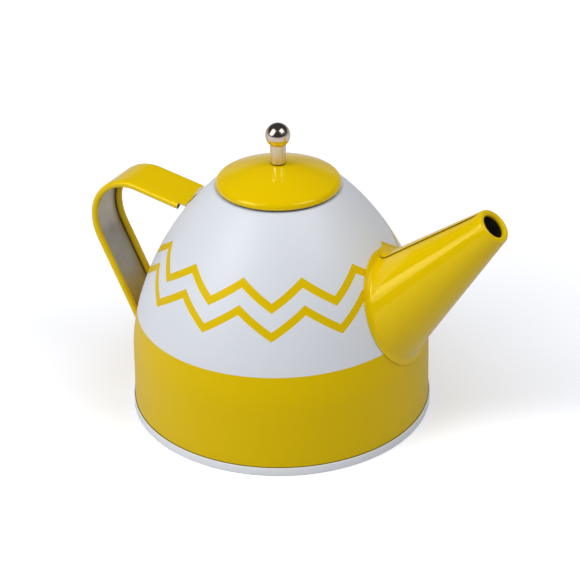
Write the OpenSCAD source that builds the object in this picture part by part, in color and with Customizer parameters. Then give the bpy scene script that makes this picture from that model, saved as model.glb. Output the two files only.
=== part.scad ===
// Toy teapot pressed from printed tin plate.
// Millimetres, +Z up. The origin is the centre of the ring that the pot stands on.
// The spout points along +X and the handle along -X.

/* [Tin plate] */
// Thickness of the tin plate
tin_t = 0.4; // [0.3:0.05:0.6]
// Gap left between two sheets that are clinched or soldered together
seam_gap = 0.05; // [0.02:0.01:0.1]
// Clearance all round a tab in its slot
slot_gap = 0.2; // [0.1:0.05:0.3]
// Length of the leg of a tab that is bent over inside the wall
tab_leg = 4; // [3:0.25:5]
// Space left between the bent leg and the inside of the wall
tab_leg_gap = 0.4; // [0.35:0.05:0.6]

/* [Body] */
// Diameter of the body wall at its foot
foot_d = 100.6; // [90:0.2:112]
// How far the wall draws in, on the radius, from the foot to the waist
wall_draw = 0.45; // [0:0.05:1.5]
// Height of the waist, where the straight wall turns into the dome
waist_h = 22.75; // [18:0.25:28]
// Height above the waist at which the curve of the dome would close
dome_h = 67; // [60:0.5:75]
// How late the dome bends over: a larger power keeps the wall steep for longer
dome_rise_power = 1.618; // [1.5:0.01:1.8]
// How round the top of the dome is
dome_top_power = 1.648; // [1.5:0.01:1.8]
// Diameter of the flat seat that the lid sits in
seat_d = 42.6; // [38:0.2:46]
// Inner diameter of the mouth
mouth_d = 34; // [28:0.5:35]
// Depth of the neck that is turned down round the mouth
neck_h = 4; // [3:0.25:6]
// Inside radius of the bend from the seat into the neck
neck_bend_r = 0.5; // [0.3:0.1:0.8]
// Diameter of the hole that lets the tea into the spout
pour_d = 14; // [8:0.5:18]

/* [Base] */
// Height of the crimped rim
rim_h = 3; // [2.5:0.1:4]
// Rounding of the rim where it meets the table
rim_round_r = 0.35; // [0.2:0.05:0.5]
// Height of the base sheet above the table
base_recess = 1.8; // [1.2:0.1:2]

/* [Spout] */
// Height at which the spout's axis meets the wall
spout_root_z = 47.7; // [44:0.1:50]
// Length of the spout's axis from the wall to the tip
spout_reach = 45.1; // [38:0.1:50]
// Angle of the spout's axis above level
spout_angle = 46.8; // [42:0.1:50]
// Outer diameter at the tip
spout_tip_d = 12; // [10:0.1:14]
// Half angle of the spout's cone
spout_flare = 11.8; // [10:0.2:13]
// Outer radius of the curl that is rolled inwards at the tip
tip_curl_r = 1.05; // [0.8:0.05:1.3]
// Width of the lip that is flared out round the foot of the spout
spout_lip_w = 1.8; // [1.2:0.1:2.4]
// Thickness of that lip with its flare
spout_lip_t = 0.8; // [0.6:0.1:1]
// Width of the tabs that fix the spout
spout_tab_w = 5; // [3:0.5:6]

/* [Handle] */
// Height at which the upper end of the handle meets the dome
handle_top_z = 67.9; // [64:0.1:69]
// Angle at which the handle rises away from the dome
handle_rise_angle = 11.6; // [8:0.1:20]
// Length of the straight top from the dome to the bend
handle_run = 18.8; // [15:0.1:22]
// Radius of the tight bend at the top
handle_bend_r = 15.4; // [13:0.2:17]
// Angle that the tight bend turns through
handle_bend_angle = 99; // [95:0.2:104]
// Radius of the slow bend below it
handle_ease_r = 19.8; // [16:0.1:26]
// Angle that the slow bend turns through
handle_ease_angle = 28.3; // [24:0.1:32]
// Distance between the centres of the two rolled edges
handle_pitch = 15.05; // [12:0.05:18]
// Outer radius of a rolled edge
handle_curl_r = 1.15; // [1:0.05:1.3]
// Distance from the wall at which the rolled edges are cut off
handle_curl_back = 2.1; // [1.8:0.1:4]
// Gap between the upper end of the handle and the dome
handle_top_gap = 1; // [0.3:0.1:1.2]
// Gap between the lower end of the handle and the wall
handle_end_gap = 0.3; // [0.2:0.05:0.4]
// Width of the tabs that fix the handle
handle_tab_w = 8; // [5:0.5:10]

/* [Lid] */
// Outer diameter of the lid
lid_d = 40.8; // [36:0.2:42]
// Height of the lid from its edge to its crown
lid_rise = 7.8; // [6:0.2:10]
// How pointed the lid is: 2 is a plain dome and less is more pointed
lid_power = 1.7; // [1.5:0.05:2]
// Outer radius of the shoulder where the lid turns down to its edge
lid_shoulder_r = 2; // [1.2:0.1:3]
// Outer radius of the curl round the edge of the lid
lid_curl_r = 0.8; // [0.7:0.05:1]
// Gap between the lid's edge and its seat
lid_gap = 0.25; // [0.2:0.05:0.4]
// Radial clearance of the lid's collar in the mouth
collar_gap = 0.4; // [0.3:0.05:0.8]
// How far the collar reaches below the lid's edge
collar_h = 5; // [3:0.25:7]
// Width of the collar's flange under the lid
collar_flange_w = 3.2; // [2:0.2:5]

/* [Knob] */
// Diameter of the ball
ball_d = 8.1; // [7:0.1:10]
// Height of the ball's centre above the crown of the lid
ball_lift = 9.6; // [8:0.2:12]
// Diameter of the stem
stem_d = 5.15; // [4.4:0.05:6]
// Diameter of the shank that goes through the lid
shank_d = 3; // [2:0.1:3.6]
// Diameter of the washer under the lid
washer_d = 8; // [6:0.2:10]
// Thickness of the washer
washer_t = 0.6; // [0.4:0.1:1]
// Diameter of the shank's riveted head
rivet_d = 4.6; // [4:0.1:5.4]
// Thickness of the riveted head
rivet_t = 0.8; // [0.6:0.1:1.2]

/* [Hidden] */

// Smoothness of round forms, and the number of steps along each computed curve
$fn = 96;
dome_steps = 16;
lid_steps = 10;
arc_steps = 5;
curl_steps = 10;
search_steps = 24;

white = "#dde0ea";
yellow = "#e2c000";
tin = "#a39c90";
nickel = "#cfcbc4";

foot_r = foot_d / 2;
waist_r = foot_r - wall_draw;
seat_r = seat_d / 2;
mouth_r = mouth_d / 2;
// Small step of height used to measure the slope of the wall
slope_step = tin_t / 10;
// How far a cut runs on past what it cuts
overrun = 4 * tin_t;

// Outline of the wall: its radius at a height, and its height at a radius on the dome
function dome_share(z) = min(1, max(0, (z - waist_h) / dome_h));
function wall_r(z) =
    z < waist_h ? foot_r - wall_draw * z / waist_h
                : waist_r * pow(1 - pow(dome_share(z), dome_rise_power), 1 / dome_top_power);
function dome_z(r) = waist_h + dome_h * pow(1 - pow(r / waist_r, dome_top_power), 1 / dome_rise_power);
function wall_slope(z) = (wall_r(z + slope_step) - wall_r(z - slope_step)) / (2 * slope_step);
function wall_inward(z) = let (s = wall_slope(z)) [-1, s] / sqrt(1 + s * s);
function wall_upward(z) = let (s = wall_slope(z)) [s, 1] / sqrt(1 + s * s);
// A point of the wall at a height, moved inwards by a depth
function wall_point(z, depth) = [wall_r(z), z] + depth * wall_inward(z);

// Points of an arc about a centre
function arc(centre, r, from, to, steps) =
    [for (i = [0:steps]) let (a = from + (to - from) * i / steps) centre + r * [cos(a), sin(a)]];

// Outline of a bent strip of sheet: the given points are the middle of its thickness
function unit(v) = v / norm(v);
function side(v) = [-v[1], v[0]];
function mitre(points, i) =
    let (last = len(points) - 1,
         a = side(unit(points[max(1, i)] - points[max(1, i) - 1])),
         b = side(unit(points[min(last, i + 1)] - points[min(last, i + 1) - 1])))
    (a + b) / (1 + a * b);
function ribbon(points, t) = concat(
    [for (i = [0:len(points) - 1]) points[i] + mitre(points, i) * t / 2],
    [for (i = [len(points) - 1:-1:0]) points[i] - mitre(points, i) * t / 2]);

seat_z = dome_z(seat_r);
dome_zs = [for (i = [0:dome_steps]) waist_h + (seat_z - waist_h) * i / dome_steps];
body_edge_z = tin_t + seam_gap;

// The solid inside the wall, grown outwards by a depth
module wall_core(grow) {
    rotate_extrude()
        polygon(concat(
            [[0, 0]],
            [wall_point(0, -grow)],
            [for (z = dome_zs) wall_point(z, -grow)],
            [[0, wall_point(seat_z, -grow)[1]]]));
}

// A ribbon in the plane of the spout and the handle, with its width across that plane
module flat_strip(points, t, w) {
    rotate([90, 0, 0])
        linear_extrude(height = w, center = true)
            polygon(ribbon(points, t));
}

// A tab that goes on from a sheet, passes square through the wall at a height and is bent over inside
module tab(sheet_points, z, way, w) {
    inside = wall_point(z, tin_t + tab_leg_gap + tin_t / 2);
    flat_strip(concat(sheet_points, [inside, inside + way * tab_leg * wall_upward(z)]), tin_t, w);
}

module tab_slot(z, w) {
    flat_strip([wall_point(z, -overrun), wall_point(z, overrun)], tin_t + 2 * slot_gap, w + 2 * slot_gap);
}

// Frame of the spout: its tip, the direction of its axis and the direction square to it
spout_out = [cos(spout_angle), sin(spout_angle)];
spout_up = [-sin(spout_angle), cos(spout_angle)];
spout_root = [wall_r(spout_root_z), spout_root_z];
spout_tip = spout_root + spout_reach * spout_out;
spout_tip_r = spout_tip_d / 2;
spout_sheet = tin_t / cos(spout_flare);
// Angle at which the curl at the tip ends, counted from straight out
tip_curl_end = 200;
// The cone is made longer than it shows, and the wall trims it
spout_run_share = 1.5;
spout_run = spout_run_share * spout_reach;
function spout_r(back) = spout_tip_r + back * tan(spout_flare);
// A point in the middle of the cone's sheet, above or below the axis
function spout_line(back, way) =
    spout_tip - back * spout_out + way * (spout_r(back) - spout_sheet / 2) * spout_up;
// How far back from the tip that line meets the wall
function spout_meet(way, near, far, n) =
    let (mid = (near + far) / 2, p = spout_line(mid, way))
    n == 0 ? mid
           : p[0] > wall_r(p[1]) ? spout_meet(way, mid, far, n - 1)
                                 : spout_meet(way, near, mid, n - 1);
// Height at which the upper or lower edge of the spout meets the wall
function spout_foot_z(way) = spout_line(spout_meet(way, 0, spout_run, search_steps), way)[1];

module at_spout() {
    translate([spout_tip[0], 0, spout_tip[1]])
        rotate([0, 90 - spout_angle, 0])
            children();
}

module spout_cone(grow) {
    translate([0, 0, -spout_run])
        cylinder(h = spout_run, r1 = spout_r(spout_run) + grow, r2 = spout_tip_r + grow);
}

module spout_shell() {
    curl = [spout_tip_r - tip_curl_r, 0];
    rotate_extrude()
        polygon(concat(
            [[spout_r(spout_run), -spout_run]],
            arc(curl, tip_curl_r, spout_flare, tip_curl_end, curl_steps),
            arc(curl, tip_curl_r - tin_t, tip_curl_end, spout_flare, curl_steps),
            [[spout_r(spout_run) - spout_sheet, -spout_run]]));
}

module spout() {
    color(yellow) {
        difference() {
            union() {
                at_spout() spout_shell();
                difference() {
                    intersection() {
                        at_spout() spout_cone(spout_lip_w);
                        wall_core(spout_lip_t);
                    }
                    at_spout() spout_cone(-spout_sheet / 2);
                }
            }
            wall_core(seam_gap);
        }
        for (way = [-1, 1])
            let (z = spout_foot_z(way))
                tab([wall_point(z, -spout_lip_t / 2)], z, way, spout_tab_w);
    }
}

module body_shell() {
    bend = [mouth_r + tin_t + neck_bend_r, seat_z - tin_t - neck_bend_r];
    neck_z = seat_z - neck_h;
    color(white)
        difference() {
            rotate_extrude()
                polygon(concat(
                    [wall_point(body_edge_z, 0)],
                    [for (z = dome_zs) wall_point(z, 0)],
                    arc(bend, neck_bend_r + tin_t, 90, 180, arc_steps),
                    [[mouth_r, neck_z], [mouth_r + tin_t, neck_z]],
                    arc(bend, neck_bend_r, 180, 90, arc_steps),
                    [[wall_point(seat_z, tin_t)[0], seat_z - tin_t]],
                    [for (i = [dome_steps - 1:-1:0]) wall_point(dome_zs[i], tin_t)],
                    [wall_point(body_edge_z, tin_t)]));
            at_spout()
                translate([0, 0, -spout_reach - pour_d / 2])
                    cylinder(h = pour_d, d = pour_d);
            for (way = [-1, 1])
                tab_slot(spout_foot_z(way), spout_tab_w);
            mirror([1, 0, 0]) {
                tab_slot(handle_top_z, handle_pitch);
                tab_slot(handle_foot_z, handle_tab_w);
            }
        }
}

// The base sheet, turned down and then up round the foot of the wall
module base_plate() {
    rim_r = foot_r + seam_gap + tin_t;
    fold_r = foot_r - tin_t - seam_gap;
    color(white)
        rotate_extrude()
            polygon(concat(
                [[0, base_recess], [fold_r - tin_t, base_recess], [fold_r - tin_t, 0]],
                arc([rim_r - rim_round_r, rim_round_r], rim_round_r, -90, 0, arc_steps),
                [[rim_r, rim_h], [rim_r - tin_t, rim_h], [rim_r - tin_t, tin_t]],
                [[fold_r, tin_t], [fold_r, base_recess + tin_t], [0, base_recess + tin_t]]));
}

// Path of the handle, in the plane of the spout, mirrored so that it leaves the wall along +X.
// Each stretch starts at a point with a heading: 0 is away from the pot and a bend turns it downwards.
function heading(a) = [cos(a), sin(a)];
function outside(a) = [-sin(a), cos(a)];
function after_bend(p, a, r, turn) = p + r * (outside(a - turn) - outside(a));
handle_start = [wall_r(handle_top_z), handle_top_z];
function handle_top(out) = handle_start + out * heading(handle_rise_angle);
bend_from = handle_top(handle_run);
ease_from = after_bend(bend_from, handle_rise_angle, handle_bend_r, handle_bend_angle);
ease_a = handle_rise_angle - handle_bend_angle;
leg_from = after_bend(ease_from, ease_a, handle_ease_r, handle_ease_angle);
leg_a = ease_a - handle_ease_angle;
// Length of the straight leg down to the wall, and how much of its end has no rolled edges
leg_run = (leg_from[0] - foot_r) / -cos(leg_a);
leg_curl_back = (-2 * handle_curl_r * sin(leg_a) + handle_end_gap) / -cos(leg_a);
function handle_low(back) = leg_from + (leg_run - back) * heading(leg_a);
handle_foot_z = handle_low(0)[1];
// A stretch that joins a fuller one is sunk into it by a short lap, and is thinner by a hair all round
lap = tin_t / 2;
hair = tin_t / 40;

// Cross-section of the handle, outwards along X and across along Y: a sheet with both edges rolled in
module handle_section(grow) {
    square([tin_t + 2 * grow, handle_pitch], center = true);
    for (way = [-1, 1])
        translate([tin_t / 2 - handle_curl_r, way * handle_pitch / 2])
            difference() {
                circle(r = handle_curl_r + grow);
                circle(r = handle_curl_r - tin_t - grow);
            }
}

module handle_straight(from, a, length, grow) {
    translate([from[0], 0, from[1]])
        rotate([0, 90 - a, 0])
            mirror([1, 0, 0])
                linear_extrude(height = length)
                    handle_section(grow);
}

module handle_bend(from, a, r, turn, grow) {
    centre = from - r * outside(a);
    translate([centre[0], 0, centre[1]])
        rotate([0, -90 - a, 0])
            rotate([-90, 0, 0])
                rotate_extrude(angle = turn)
                    translate([r, 0])
                        handle_section(grow);
}

// The flat ends of the sheet go on from the rolled edges to the wall
module handle_flat(from, to, gap) {
    difference() {
        flat_strip([from, to], tin_t - 2 * hair, handle_pitch);
        wall_core(gap);
    }
}

module handle_ends() {
    handle_flat(handle_top(2 * handle_curl_back), handle_top(-handle_curl_back), handle_top_gap);
    handle_flat(handle_low(2 * leg_curl_back), handle_low(0), handle_end_gap);
    tab([handle_top(handle_curl_back / 2), wall_point(handle_top_z, -tin_t)],
        handle_top_z, -1, handle_tab_w);
    tab([handle_low(handle_curl_back), wall_point(handle_foot_z, -tin_t)],
        handle_foot_z, 1, handle_tab_w);
}

module handle() {
    top_run = handle_run - handle_curl_back;
    lap_turn = lap / handle_ease_r * 180 / PI;
    ease_start = after_bend(ease_from, ease_a, handle_ease_r, -lap_turn);
    color(yellow)
        mirror([1, 0, 0]) {
            handle_ends();
            handle_straight(handle_top(handle_curl_back), handle_rise_angle, top_run + lap, 0);
            handle_bend(bend_from, handle_rise_angle, handle_bend_r, handle_bend_angle, hair);
            handle_bend(ease_start, ease_a + lap_turn, handle_ease_r, handle_ease_angle + 2 * lap_turn, 0);
            handle_straight(leg_from, leg_a, leg_run - leg_curl_back, hair);
        }
}

// The lid's shoulder and edge curl, with the angles at which they start and end, counted from straight out
lid_z = seat_z + lid_gap;
lid_curl = [lid_d / 2 - lid_curl_r, lid_z + lid_curl_r];
lid_shoulder = [lid_d / 2 - lid_shoulder_r, lid_curl[1]];
lid_shoulder_start = 65;
lid_shoulder_end = 13;
lid_curl_end = -150;
// The lid's upper surface: its height at a radius, and how steeply it falls there
lid_r1 = lid_shoulder[0] + lid_shoulder_r * cos(lid_shoulder_start);
lid_z1 = lid_shoulder[1] + lid_shoulder_r * sin(lid_shoulder_start);
crown_z = lid_z + lid_rise;
function lid_top(r) = lid_z1 + (crown_z - lid_z1) * (1 - pow(r / lid_r1, lid_power));
function lid_steepness(r) = lid_power * (crown_z - lid_z1) / lid_r1 * pow(r / lid_r1, lid_power - 1);
// Height of a surface that lies a depth below the upper one
function lid_under(r, depth) = lid_top(r) - depth * sqrt(1 + pow(lid_steepness(r), 2));
lid_hole_r = shank_d / 2 + seam_gap;
lid_rs = [for (i = [0:lid_steps]) lid_hole_r + (lid_r1 - lid_hole_r) * i / lid_steps];

module lid_cover() {
    color(yellow)
        rotate_extrude()
            polygon(concat(
                [for (r = lid_rs) [r, lid_top(r)]],
                arc(lid_shoulder, lid_shoulder_r, lid_shoulder_start, lid_shoulder_end, arc_steps),
                arc(lid_curl, lid_curl_r, 0, lid_curl_end, curl_steps),
                arc(lid_curl, lid_curl_r - tin_t, lid_curl_end, 0, curl_steps),
                arc(lid_shoulder, lid_shoulder_r - tin_t, lid_shoulder_end, lid_shoulder_start, arc_steps),
                [for (i = [lid_steps - 1:-1:0]) [lid_rs[i], lid_under(lid_rs[i], tin_t)]]));
}

module lid_collar() {
    out_r = mouth_r - collar_gap;
    in_r = out_r - collar_flange_w;
    bottom_z = lid_z - collar_h;
    color(tin)
        rotate_extrude()
            polygon([
                [out_r, bottom_z], [out_r, lid_under(out_r, tin_t + seam_gap)],
                [in_r, lid_under(in_r, tin_t + seam_gap)], [in_r, lid_under(in_r, 2 * tin_t + seam_gap)],
                [out_r - tin_t, lid_under(out_r - tin_t, 2 * tin_t + seam_gap)], [out_r - tin_t, bottom_z]]);
}

washer_top = lid_under(washer_d / 2, tin_t + seam_gap);
washer_bottom = washer_top - washer_t;

module knob() {
    foot_z = lid_top(lid_hole_r) + seam_gap;
    ball_z = crown_z + ball_lift;
    rivet_top = washer_bottom - seam_gap;
    color(nickel) {
        translate([0, 0, ball_z]) sphere(d = ball_d);
        translate([0, 0, foot_z]) cylinder(h = ball_z - foot_z, d = stem_d);
        translate([0, 0, rivet_top]) cylinder(h = ball_z - rivet_top, d = shank_d);
        translate([0, 0, rivet_top - rivet_t]) cylinder(h = rivet_t, d = rivet_d);
    }
}

module knob_washer() {
    color(tin)
        translate([0, 0, washer_bottom])
            difference() {
                cylinder(h = washer_t, d = washer_d);
                translate([0, 0, -overrun])
                    cylinder(h = washer_t + 2 * overrun, r = lid_hole_r);
            }
}

body_shell();
base_plate();
spout();
handle();
lid_cover();
lid_collar();
knob();
knob_washer();
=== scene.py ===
"""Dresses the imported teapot: a toy pot of printed tin plate, on a pale floor in soft studio light."""

from functools import partial
from math import cos, hypot, pi, radians, sin, sqrt, tan, tau

import bmesh
import bpy
from bpy.props import FloatProperty, FloatVectorProperty, IntProperty, PointerProperty
from mathutils import Matrix, Vector

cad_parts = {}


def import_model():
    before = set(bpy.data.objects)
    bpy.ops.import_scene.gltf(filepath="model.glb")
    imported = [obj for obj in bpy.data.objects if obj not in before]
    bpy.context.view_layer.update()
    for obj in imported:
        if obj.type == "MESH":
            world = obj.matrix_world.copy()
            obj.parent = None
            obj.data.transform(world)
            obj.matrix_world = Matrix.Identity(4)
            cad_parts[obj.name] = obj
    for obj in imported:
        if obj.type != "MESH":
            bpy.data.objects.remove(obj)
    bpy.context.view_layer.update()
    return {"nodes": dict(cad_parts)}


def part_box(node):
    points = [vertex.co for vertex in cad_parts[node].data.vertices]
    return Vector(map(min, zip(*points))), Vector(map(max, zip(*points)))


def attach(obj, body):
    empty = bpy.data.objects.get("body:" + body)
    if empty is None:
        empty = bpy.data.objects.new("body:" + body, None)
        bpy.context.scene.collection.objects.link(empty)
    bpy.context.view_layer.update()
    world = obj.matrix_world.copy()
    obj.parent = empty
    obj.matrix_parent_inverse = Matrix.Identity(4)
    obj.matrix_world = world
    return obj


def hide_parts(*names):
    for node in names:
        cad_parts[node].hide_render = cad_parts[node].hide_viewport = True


bl_info = {
    "name": "Tin Teapot",
    "version": (1, 0, 0),
    "blender": (4, 5, 0),
    "location": "3D View > Sidebar > Teapot",
    "description": "Models a toy teapot of printed tin plate on its packed frame",
    "category": "Object",
}

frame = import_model()
SHELL_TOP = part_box("body_shell")[1]
RIM_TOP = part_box("base_plate")[1]
LID_LOW, LID_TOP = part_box("lid_cover")
KNOB_LOW, KNOB_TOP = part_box("knob")
COLLAR_LOW, COLLAR_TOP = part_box("lid_collar")

MM = 0.001
# Vertices closer than this are one
WELD = 0.002 * MM
# An edge whose faces meet at more than this is a crease and not part of a smooth form
CREASE = radians(32)
# A camera renders a deep yellow with no blue left, so what it mirrors head-on loses its blue too
YELLOW_SHINE = (1, 0.88, 0.26, 1)
# The same for the satin ink of the print, whose highlights are weaker and lose more of it
INK_SHINE = (1, 0.85, 0.1, 1)
# A tab's leg is bent over inside the wall, and stands off it by a gap
TAB_LEG = 4 * MM
TAB_GAP = 0.4 * MM


def linear(code):
    """The linear colour of an sRGB hex code."""
    shares = [int(code[i : i + 2], 16) / 255 for i in (1, 3, 5)]
    return [s / 12.92 if s <= 0.04045 else ((s + 0.055) / 1.055) ** 2.4 for s in shares]


# Sizes and colours that a user would change


def length(name, description, millimetres):
    return FloatProperty(
        name=name, description=description, default=millimetres * MM, min=0, unit="LENGTH", precision=5
    )


def angle(name, description, degrees):
    return FloatProperty(name=name, description=description, default=radians(degrees), subtype="ANGLE")


def power(name, description, default):
    return FloatProperty(name=name, description=description, default=default, min=0.5, max=4)


def colour(name, description, code):
    return FloatVectorProperty(
        name=name, description=description, default=linear(code), subtype="COLOR", size=3, min=0, max=1
    )


class TeapotBody(bpy.types.PropertyGroup):
    sheet: length("Sheet", "Thickness of the tin plate", 0.4)
    seam_gap: length("Seam gap", "Gap between two sheets that are clinched together", 0.05)
    foot_radius: length("Foot radius", "Outer radius of the wall at its foot", SHELL_TOP.x / MM)
    wall_draw: length("Wall draw", "How far the wall draws in from the foot to the waist", 0.45)
    waist_height: length("Waist height", "Height at which the wall turns into the dome", 22.75)
    dome_height: length("Dome height", "Height above the waist at which the dome would close", 67)
    rise_power: power("Rise power", "How late the dome bends over", 1.618)
    top_power: power("Top power", "How round the top of the dome is", 1.648)
    seat_radius: length("Seat radius", "Outer radius of the flat seat of the lid", 21.3)
    seat_round: length("Seat round", "Rounding of the edge of the seat", 0.5)
    mouth_radius: length("Mouth radius", "Radius of the mouth", 17)
    neck_depth: length("Neck depth", "Depth of the neck that is turned down round the mouth", 4)
    neck_bend: length("Neck bend", "Inside radius of the bend from the seat into the neck", 0.5)
    pour_radius: length("Pour radius", "Radius of the hole behind the spout", 7)
    slot_gap: length("Slot gap", "Clearance all round a tab in its slot", 0.2)
    rim_fold: length("Rim fold", "Rounding of the upper edge of the crimped rim", 0.2)
    rim_round: length("Rim round", "Rounding of the rim where it meets the table", 0.35)
    base_recess: length("Base recess", "Height of the base sheet above the table", 1.8)


class TeapotPrint(bpy.types.PropertyGroup):
    band_top: length("Band top", "Height at which the yellow band ends", 35.2)
    periods: IntProperty(name="Periods", description="Peaks of the zigzag round the pot", default=12, min=3)
    peak_turn: angle("Peak turn", "Angle of a peak, counted from the spout", 9.6)
    upper_peak: length("Upper peak", "Height of the peaks of the upper line", 62)
    upper_valley: length("Upper valley", "Height of the valleys of the upper line", 55.4)
    lower_peak: length("Lower peak", "Height of the peaks of the lower line", 54.5)
    lower_valley: length("Lower valley", "Height of the valleys of the lower line", 47.3)
    stroke: length("Stroke", "Height of a line, measured straight up", 2.8)
    off_centre: length("Off centre", "How far the print sits off the centre of the drawn sheet", 0.5)
    off_turn: angle("Off turn", "Side on which the print sits higher, counted from the spout", 28.6)
    # Painted shade: the print is darkened in a thin line in the seam over the rim, up to this height
    seam_shadow: length("Seam shadow", "Height of the line of dust in the seam over the rim", 0.22)


class TeapotSpout(bpy.types.PropertyGroup):
    root_height: length("Root height", "Height at which the axis meets the wall", 47.7)
    reach: length("Reach", "Length of the axis from the wall to the tip", 45.1)
    rise: angle("Rise", "Angle of the axis above level", 46.8)
    tip_radius: length("Tip radius", "Outer radius at the tip", 6)
    flare: angle("Flare", "Half angle of the cone", 11.8)
    curl_radius: length("Curl radius", "Outer radius of the curl at the tip", 1.05)
    lip_width: length("Lip width", "Width at the sides of the lip that lies on the wall", 1.45)
    lip_top: length("Lip top", "Width of the lip at the top of the spout", 2.6)
    lip_bottom: length("Lip bottom", "Width of the lip at the bottom of the spout", 2.1)
    lip_bend: length("Lip bend", "Length of the bend from the cone into the lip", 1.2)
    seam_turn: angle("Seam turn", "Angle of the lap seam from the top of the spout, towards the front", 9)
    lap_turn: angle("Lap turn", "Angle over which the sheet laps itself", 18)
    lap_gap: length("Lap gap", "Gap between the two layers at the seam", 0.07)
    corner_cut: length("Corner cut", "Length that is cut off the outer layer's corner at the foot", 5.3)
    tab_width: length("Tab width", "Width of the tabs that go through the wall", 5)


class TeapotHandle(bpy.types.PropertyGroup):
    top_height: length("Top height", "Height at which the upper end meets the dome", 67.9)
    rise: angle("Rise", "Angle at which the handle rises away from the dome", 11.6)
    run: length("Run", "Length of the straight top", 18.8)
    bend_radius: length("Bend radius", "Radius of the tight bend", 15.4)
    bend_turn: angle("Bend turn", "Angle of the tight bend", 99)
    ease_radius: length("Ease radius", "Radius of the slow bend below it", 19.8)
    ease_turn: angle("Ease turn", "Angle of the slow bend", 28.3)
    pitch: length("Pitch", "Distance between the centres of the rolled edges", 15.05)
    curl_radius: length("Curl radius", "Outer radius of a rolled edge", 1.15)
    curl_turn: angle("Curl turn", "Angle through which an edge is rolled", 287)
    curl_back: length("Curl back", "Distance from the wall at which the rolled edges are cut off", 2.1)
    paint_end: length("Paint end", "How far from the dome the paint of the upper end stops", 0.75)
    paint_slant: FloatProperty(name="Paint slant", description="Slant of that line", default=0.22)
    # Painted shadow: a dark strip beside the dome stands in for the shade in the gap there
    shadow_edge: length("Shadow edge", "Width of the dark seam beside the dome", 0.3)
    end_gap: length("End gap", "Gap between the lower end of the handle and the wall", 0.3)
    tab_width: length("Tab width", "Width of the tabs that go through the wall", 8)


class TeapotLid(bpy.types.PropertyGroup):
    lid_power: power("Lid power", "How pointed the lid is: 2 is a plain dome", 1.7)
    lid_curl: length("Lid curl", "Outer radius of the curl round the edge", 0.8)
    shoulder: length("Shoulder", "Radius of the shoulder where the lid turns down to its edge", 2)
    shoulder_start: angle("Shoulder start", "Angle at which the shoulder starts, from level", 65)
    curl_end: angle("Curl end", "Angle at which the curl ends, from level", -150)
    flange_width: length("Flange width", "Width of the collar's flange under the lid", 3.2)
    ball_radius: length("Ball radius", "Radius of the knob's ball", 4.05)
    stem_radius: length("Stem radius", "Radius of the knob's stem", 2.575)
    stem_round: length("Stem round", "Rounding at the foot of the stem", 0.35)
    shank_radius: length("Shank radius", "Radius of the shank that goes through the lid", 1.5)
    rivet_radius: length("Rivet radius", "Radius of the riveted head under the lid", 2.8)
    rivet_height: length("Rivet height", "Height of the riveted head", 0.8)


class TeapotColours(bpy.types.PropertyGroup):
    white: colour("White", "White of the print", "#d9dde5")
    ink: colour("Ink", "Yellow of the print", "#dcba00")
    yellow: colour("Yellow", "Yellow of the enamel", "#e4c100")
    rim_white: colour("Rim white", "White of the crimped rim", "#e6eaf2")
    tin: colour("Tin", "Bare tin plate", "#dfd9cf")
    nickel: colour("Nickel", "Plated ball of the knob", "#e6d6c8")
    stem: colour("Stem", "Stem of the knob, less polished than its ball", "#e8dac6")


# Outline of the wall


def wall_radius(body, z):
    if z < body.waist_height:
        return body.foot_radius - body.wall_draw * z / body.waist_height
    share = min(1, (z - body.waist_height) / body.dome_height)
    return (body.foot_radius - body.wall_draw) * (1 - share**body.rise_power) ** (1 / body.top_power)


def wall_slope(body, z):
    step = 0.05 * MM
    return (wall_radius(body, z + step) - wall_radius(body, z - step)) / (2 * step)


def wall_point(body, z, depth):
    """A point (radius, height) of the wall at a height, moved inwards by a depth."""
    slope = wall_slope(body, z)
    scale = depth / sqrt(1 + slope * slope)
    return wall_radius(body, z) - scale, z + scale * slope


def outside_wall(body, point, gap):
    """How far a point lies outside the wall, less a gap."""
    slope = wall_slope(body, point.z)
    return (hypot(point.x, point.y) - wall_radius(body, point.z)) / sqrt(1 + slope * slope) - gap


def halve(is_near, near, far):
    """The place between near and far where is_near turns false."""
    for _ in range(40):
        middle = (near + far) / 2
        near, far = (middle, far) if is_near(middle) else (near, middle)
    return near


# Outlines as lists of points (x, z)


def arc(centre, radius, start, end, steps):
    turns = [start + (end - start) * i / steps for i in range(steps + 1)]
    return [(centre[0] + radius * cos(a), centre[1] + radius * sin(a)) for a in turns]


def bend(before, corner, after, steps):
    """A soft bend from one point to another, drawn towards their corner."""
    points = []
    for i in range(steps + 1):
        t = i / steps
        shares = ((1 - t) ** 2, 2 * t * (1 - t), t * t)
        points.append(tuple(sum(s * p[k] for s, p in zip(shares, (before, corner, after))) for k in (0, 1)))
    return points


def along(points, distance):
    """The point at a distance along a line of points."""
    for here, there in zip(points, points[1:]):
        step = hypot(there[0] - here[0], there[1] - here[1])
        if distance <= step:
            share = distance / step
            return here[0] + (there[0] - here[0]) * share, here[1] + (there[1] - here[1]) * share
        distance -= step
    return points[-1]


def line_length(points):
    return sum(hypot(b[0] - a[0], b[1] - a[1]) for a, b in zip(points, points[1:]))


# Meshes


def verts_of(geometry):
    return [g for g in geometry if isinstance(g, bmesh.types.BMVert)]


def edges_of(geometry):
    return [g for g in geometry if isinstance(g, bmesh.types.BMEdge)]


def draw(bm, points, closed=False):
    """Joins points of an outline with edges, in the plane of X and Z."""
    verts = [bm.verts.new((x, 0, z)) for x, z in points]
    pairs = list(zip(verts, verts[1:] + verts[:1])) if closed else list(zip(verts, verts[1:]))
    return verts + [bm.edges.new(pair) for pair in pairs]


def pull(bm, geometry, vector):
    """Pulls a line of edges out into faces, and returns the new line."""
    new = bmesh.ops.extrude_edge_only(bm, edges=edges_of(geometry))["geom"]
    bmesh.ops.translate(bm, verts=verts_of(new), vec=vector)
    return [g for g in new if not isinstance(g, bmesh.types.BMFace)]


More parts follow.
